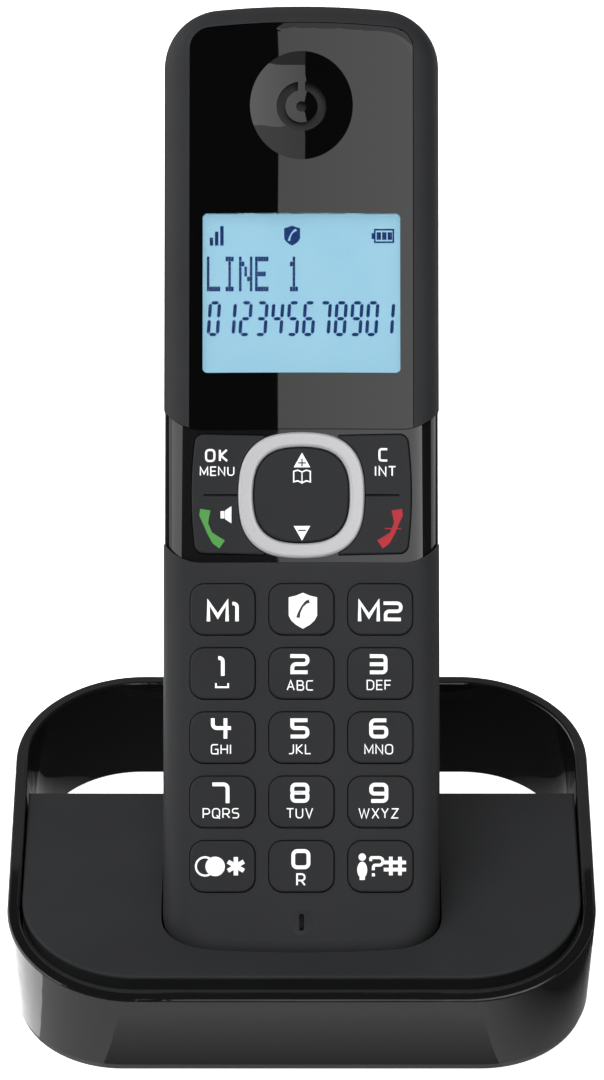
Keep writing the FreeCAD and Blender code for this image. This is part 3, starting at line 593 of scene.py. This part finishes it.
def icon_legends():
    legend("key_block", "shield", shield_icon(), 1.4, -1.2)
    legend("key_block", "receiver", small_receiver(), 1.4, -0.6, DARK_INK, lift=0.03)
    ring = disc(0, 0, 9.0, steps=36)[0]
    legend("key_star", "ring", ribbon(ring, 2.0, True), -17.2, 0.2)
    legend("key_star", "spot", disc(0, 0, 9.6), -7.2, 0.2, lift=0.025)
    legend("key_star", "star", lettering("*", BOLD, 4.2, 0), 13.2, 0.4)
    person = disc(0, 9.0, 3.6) + disc(0, -3.6, 4.9, 1.65) + slab(-2.6, 2.6, -13.5, -6)
    legend("key_hash", "person", person, -18.0, 0.4)
    legend("key_hash", "help", lettering("?", BOLD, 2.9, 0), -3.6, 0.4)
    legend("key_hash", "hash", lettering("#", BOLD, 3.6, 0), 14.2, 0.6)


def arrow(way, mark):
    """A triangle pointing up or down, and the sign that stands on it."""
    triangle = [[Vector((-8.2, -7 * way)), Vector((8.2, -7 * way)), Vector((0, 7.6 * way))]]
    sign = slab(-3.8, 3.8, -2.6 * way - 0.7, -2.6 * way + 0.7)
    if mark == "plus":
        sign += slab(-0.7, 0.7, -6.2, 1.6)
    return triangle, sign


def book():
    """An open book, its two pages mirrored."""
    page = [(-8.2, 5.2), (-4.2, 6.4), (0, 4.6), (0, -6.2), (-4.2, -4.2), (-8.2, -5.2)]
    left = ribbon([Vector(point) for point in page], 1.3, True)
    right = [[Vector((-point.x, point.y)) for point in shape] for shape in left]
    return left + right


def navigation_legends():
    triangle, sign = arrow(1, "plus")
    legend("nav_key", "up", triangle, 0.6, 34.8, proud=NAV_PROUD)
    legend("nav_key", "plus", sign, 0.6, 34.8, DARK_INK, NAV_PROUD, 0.03)
    legend("nav_key", "book", book(), 0.6, 18.6, proud=NAV_PROUD)
    triangle, sign = arrow(-1, "minus")
    legend("nav_key", "down", triangle, 0.6, -37.4, proud=NAV_PROUD)
    legend("nav_key", "minus", sign, 0.6, -37.4, DARK_INK, NAV_PROUD, 0.03)


def side(node, suffix, shapes, x, z, ink_used=WHITE_INK, scale=1.0):
    """A print on a side key, x and z grid units from the middle of the navigation ring."""
    placed = moved(shapes, x * UNIT, NAV_Z + z * UNIT, UNIT * scale)
    printed(node + "_" + suffix, placed, node, ink_used, on_crown(ROCKER_PROUD))


def side_legends():
    side("left_rocker_key", "ok", lettering("OK", THIN, 1.65, 2.8), -84.3, 39.6, scale=1.22)
    side("left_rocker_key", "menu", lettering("MENU", THIN, 1.3, 2.2), -83.6, 24.0, scale=0.92)
    side("left_rocker_key", "call", handset_icon(), -87.6, -31.2, GREEN_INK)
    magnet = slab(-5.5, -1.6, -3.6, 3.6)
    horn = [Vector((-0.8, -4.4)), Vector((5.2, -8.4)), Vector((5.2, 8.4)), Vector((-0.8, 4.4))]
    side("left_rocker_key", "speaker", magnet + [horn], -74.6, -19.4)
    side("right_rocker_key", "clear", lettering("C", THIN, 1.65, 0), 80.6, 40.2, scale=1.25)
    side("right_rocker_key", "intercom", lettering("INT", THIN, 1.35, 2.3), 83.0, 24.0)
    side("right_rocker_key", "end", handset_icon(-1), 86.8, -31.2, RED_INK)
    side("right_rocker_key", "end_bar", slab(-8.0, 8.0, -0.5, 0.5), 90.6, -33.0, RED_INK)


# ---------------------------------------------------------------- what the display shows
DOT_LETTERS = {
    "L": ["1....", "1....", "1....", "1....", "1....", "1....", "11111"],
    "I": [".111.", "..1..", "..1..", "..1..", "..1..", "..1..", ".111."],
    "N": ["1...1", "11..1", "1.1.1", "1.1.1", "1..11", "1...1", "1...1"],
    "E": ["11111", "1....", "1....", "1111.", "1....", "1....", "11111"],
    "1": ["..1..", ".11..", "..1..", "..1..", "..1..", "..1..", ".111."],
    " ": ["....."] * 7,
}
SEGMENTS = {
    "0": "abcdef", "1": "bc", "2": "abdeg", "3": "abcdg", "4": "bcfg",
    "5": "acdfg", "6": "acdefg", "7": "abc", "8": "abcdefg", "9": "abcdfg",
}


def display_point(x, y):
    """Grid units right of the display's middle and down from its top edge, in the handset's frame."""
    return x * UNIT, LCD_TOP - y * UNIT


def display_shapes(shapes):
    return [[Vector(display_point(point.x, point.y)) for point in shape] for shape in shapes]


def signal_bars():
    shapes = []
    for index, top in enumerate((24.0, 18.0, 12.4)):
        left = -91.4 + 5.2 * index
        shapes += slab(left, left + 3.5, top, 32.0)
    return shapes


def battery_gauge():
    case = ribbon(rounded([(73, 16), (91.5, 16), (91.5, 28.6), (73, 28.6)], True), 1.7, True)
    case += slab(69.8, 72.4, 19.4, 25.4)
    for index in range(3):
        case += slab(74.8 + 5.5 * index, 79.2 + 5.5 * index, 18.6, 26.2)
    return case


def name_line(text):
    shapes = []
    for column, letter in enumerate(text):
        for row, dots in enumerate(DOT_LETTERS[letter]):
            for dot, mark in enumerate(dots):
                if mark == "1":
                    left = -94.2 + 16.0 * column + 2.7 * dot
                    top = 43.0 + 5.0 * row
                    shapes += slab(left, left + 2.55, top, top + 4.8)
    return shapes


def segment(name):
    """One bar of a seven-bar digit in a cell 12 wide and 35 high, with pointed ends."""
    upright = {
        "f": (1.6, 2.4, 16.6),
        "e": (1.6, 18.6, 32.8),
        "b": (10.6, 2.4, 16.6),
        "c": (10.6, 18.6, 32.8),
    }
    level = {"a": 1.7, "g": 17.6, "d": 33.4}
    if name in upright:
        x, top, bottom = upright[name]
        return [[Vector((x - 1.7, top + 1.6)), Vector((x, top)), Vector((x + 1.7, top + 1.6)),
                 Vector((x + 1.7, bottom - 1.6)), Vector((x, bottom)), Vector((x - 1.7, bottom - 1.6))]]
    y = level[name]
    return [[Vector((2.2, y)), Vector((4.0, y - 1.7)), Vector((8.2, y - 1.7)), Vector((10.0, y)),
             Vector((8.2, y + 1.7)), Vector((4.0, y + 1.7))]]


def number_line(text):
    shapes = []
    for column, digit in enumerate(text):
        for name in SEGMENTS[digit]:
            for shape in segment(name):
                leaned = [Vector((point.x + 0.07 * (35 - point.y), point.y)) for point in shape]
                shapes += moved([leaned], -94.4 + 15.75 * column, 87.6)
    return shapes


def display():
    shield = [[Vector((point.x * 0.57 - 9.3, 21.8 - point.y * 0.57)) for point in shape]
              for shape in shield_icon()]
    call = [[Vector((point.x * 0.66 - 9.3, 22.0 - point.y * 0.66)) for point in shape]
            for shape in small_receiver()]
    groups = {"signal": signal_bars(), "shield": shield, "battery": battery_gauge(),
              "name": name_line("LINE 1"), "number": number_line("012345678901")}
    for name, shapes in groups.items():
        printed("display_" + name, display_shapes(shapes), "handset", LCD_INK, on_lcd,
                0.02, 0.01)
    printed("display_receiver", display_shapes(call), "handset", MATERIALS["lcd_glass"], on_lcd,
            0.03, 0.01)


# ---------------------------------------------------------------- stage, light and camera
def card(name, centre, right, up, width, height, left_light, right_light):
    """A flat reflector seen only in gloss. Its light changes evenly along its right direction."""
    mesh = bpy.data.meshes.new(name)
    corners = [centre + right * (width * a / 2) + up * (height * b / 2)
               for a, b in ((-1, -1), (1, -1), (1, 1), (-1, 1))]
    mesh.from_pydata(corners, [], [(0, 1, 2, 3)])
    mesh.uv_layers.new()
    for loop, place in zip(mesh.uv_layers[0].data, ((0, 0), (1, 0), (1, 1), (0, 1))):
        loop.uv = place
    panel = bpy.data.objects.new(name, mesh)
    bpy.context.scene.collection.objects.link(panel)
    material = bpy.data.materials.new(name)
    material.use_nodes = True
    tree = material.node_tree
    tree.nodes.clear()
    place = tree.nodes.new("ShaderNodeTexCoord")
    split = tree.nodes.new("ShaderNodeSeparateXYZ")
    ramp = tree.nodes.new("ShaderNodeMapRange")
    ramp.inputs["To Min"].default_value = left_light
    ramp.inputs["To Max"].default_value = right_light
    glow = tree.nodes.new("ShaderNodeEmission")
    end = tree.nodes.new("ShaderNodeOutputMaterial")
    tree.links.new(place.outputs["UV"], split.inputs[0])
    tree.links.new(split.outputs["X"], ramp.inputs["Value"])
    tree.links.new(ramp.outputs["Result"], glow.inputs["Strength"])
    tree.links.new(glow.outputs[0], end.inputs["Surface"])
    mesh.materials.append(material)
    panel.visible_camera = False
    panel.visible_diffuse = False
    panel.visible_shadow = False


def soft_light(name, place, aim, width, height, watts):
    data = bpy.data.lights.new(name, "AREA")
    data.shape = "RECTANGLE"
    data.size = width
    data.size_y = height
    data.energy = watts
    lamp = bpy.data.objects.new(name, data)
    lamp.location = place
    lamp.rotation_euler = (Vector(aim) - Vector(place)).to_track_quat("-Z", "Y").to_euler()
    lamp.visible_glossy = False
    bpy.context.scene.collection.objects.link(lamp)


# Distances on the stage are in metres. The cards on the floor lie just above it.
FLOOR_HALF = 3.0
FLOOR_LIFT = 0.0002
UP = Vector((0, 0, 1))
FORWARD = Vector((0, -1, 0))
BACKWARD = Vector((0, 1, 0))

# The lens looks this far above the horizon. The big card's left edge shows as a line down the lens.
LENS_TILT = math.radians(46)
LENS_MIDDLE = 120.0
CARD_REACH = 1.2
CARD_WIDTH = 1.72
CARD_EDGE = -0.053

# The main view is from straight in front, looking down onto the base.
LOOK_DOWN = math.radians(37.984)
CAMERA_SIDE = 0.00009
CAMERA_BACK = 0.62026
CAMERA_HEIGHT = 0.59815
CAMERA_LENS = 112.85


def floor():
    mesh = bpy.data.meshes.new("floor")
    corners = [(-FLOOR_HALF, -FLOOR_HALF, 0), (FLOOR_HALF, -FLOOR_HALF, 0),
               (FLOOR_HALF, FLOOR_HALF, 0), (-FLOOR_HALF, FLOOR_HALF, 0)]
    mesh.from_pydata(corners, [], [(0, 1, 2, 3)])
    plane = bpy.data.objects.new("floor", mesh)
    bpy.context.scene.collection.objects.link(plane)
    shade = Shade("pale_floor").set(Emission_Color=(1, 1, 1, 1), Emission_Strength=0.95, Roughness=0.9)
    shade.shader.inputs["Base Color"].default_value = (0.86, 0.86, 0.86, 1.0)
    mesh.materials.append(shade.material)
    plane.visible_glossy = False


def lens_cards():
    """The panel that lights the right of the lens, and dimmer ones over and under it for the dish."""
    toward = Vector((0, -math.cos(LENS_TILT), math.sin(LENS_TILT)))
    across_up = Vector((0, math.sin(LENS_TILT), math.cos(LENS_TILT)))
    middle = on_handset(0, LENS_MIDDLE, 0) + toward * CARD_REACH + ACROSS * (CARD_WIDTH / 2 + CARD_EDGE)
    card("card_right", middle, ACROSS, across_up, CARD_WIDTH, 0.9, 1.72, 3.9)
    card("card_right_high", middle + across_up * 0.75, ACROSS, across_up, CARD_WIDTH, 0.6, 1.0, 1.6)
    card("card_right_low", middle - across_up * 0.70, ACROSS, across_up, CARD_WIDTH, 0.5, 0.5, 0.7)


def side_cards():
    """What the rims, the waist and the handset's sides show."""
    card("card_back", Vector((0.0, 1.6, 0.9)), ACROSS, UP, 3.0, 1.6, 0.36, 0.30)
    card("card_beside_right", Vector((0.52, 0.3, FLOOR_LIFT)), ACROSS, BACKWARD, 0.8, 1.2, 1.0, 1.0)
    card("card_beside_left", Vector((-0.62, 0.3, FLOOR_LIFT)), ACROSS, BACKWARD, 0.8, 1.2, 1.0, 1.0)
    card("card_side_left", Vector((-1.0, 0.2, 0.5)), FORWARD, UP, 1.6, 1.0, 2.2, 2.2)


def floor_cards():
    """The floor as the glossy band shows it: shaded at the foot and on the right, bright on the left."""
    foot = Vector((0.0, BASE_FRONT_FOOT, FLOOR_LIFT))
    near = foot + FORWARD * 0.006
    front = foot + FORWARD * 0.036 - ACROSS * 0.033
    corner = foot + FORWARD * 0.0025 - ACROSS * 0.067
    left = foot + BACKWARD * 0.067 - ACROSS * 0.115
    right = foot + FORWARD * 0.015 + ACROSS * 0.046
    card("card_floor_near", near, FORWARD, ACROSS, 0.012, 0.068, 0.2, 0.9)
    card("card_floor_front", front, FORWARD, ACROSS, 0.048, 0.134, 0.95, 1.25)
    card("card_floor_corner", corner, FORWARD, ACROSS, 0.019, 0.066, 1.0, 0.95)
    card("card_floor_left", left, ACROSS, BACKWARD, 0.14, 0.12, 1.0, 3.0)
    card("card_floor_right", right, ACROSS, BACKWARD, 0.024, 0.09, 0.95, 0.02)
    inside = Vector((0.0, BASE_REAR - 0.016, FLOOR_LIFT))
    card("card_inside_left", inside - ACROSS * 0.0425, ACROSS, BACKWARD, 0.011, 0.026, 1.0, 0.15)
    card("card_inside_right", inside + ACROSS * 0.0425, ACROSS, BACKWARD, 0.011, 0.026, 0.1, 0.6)


def lights():
    soft_light("overhead", (-0.3, -0.3, 1.2), (0, 0, 0), 1.4, 1.2, 25.0)
    soft_light("key_left", (-0.9, -0.5, 0.8), (0, 0, 0.05), 0.7, 0.7, 2.0)
    soft_light("fill_right", (0.9, -0.6, 0.7), (0, 0, 0.05), 0.7, 0.7, 0.1)
    soft_light("fill_back", (0.0, 1.2, 0.8), (0, 0, 0.05), 1.0, 0.7, 4.0)


def stage():
    floor()
    world = bpy.data.worlds.new("studio")
    world.use_nodes = True
    world.node_tree.nodes["Background"].inputs["Color"].default_value = (0.022, 0.022, 0.023, 1.0)
    bpy.context.scene.world = world
    lens_cards()
    side_cards()
    floor_cards()
    lights()


def camera():
    data = bpy.data.cameras.new("camera")
    data.sensor_fit = "VERTICAL"
    data.sensor_height = 24.0
    data.lens = CAMERA_LENS
    data.clip_start = 0.01
    eye = bpy.data.objects.new("camera", data)
    eye.location = (CAMERA_SIDE, BASE_FRONT_FOOT - CAMERA_BACK, CAMERA_HEIGHT)
    eye.rotation_euler = (math.pi / 2 - LOOK_DOWN, 0, 0)
    bpy.context.scene.collection.objects.link(eye)
    bpy.context.scene.camera = eye


bpy.context.scene.view_settings.view_transform = "Standard"
bpy.context.scene.view_settings.look = "None"
digit_legends()
icon_legends()
navigation_legends()
side_legends()
display()
stage()
camera()
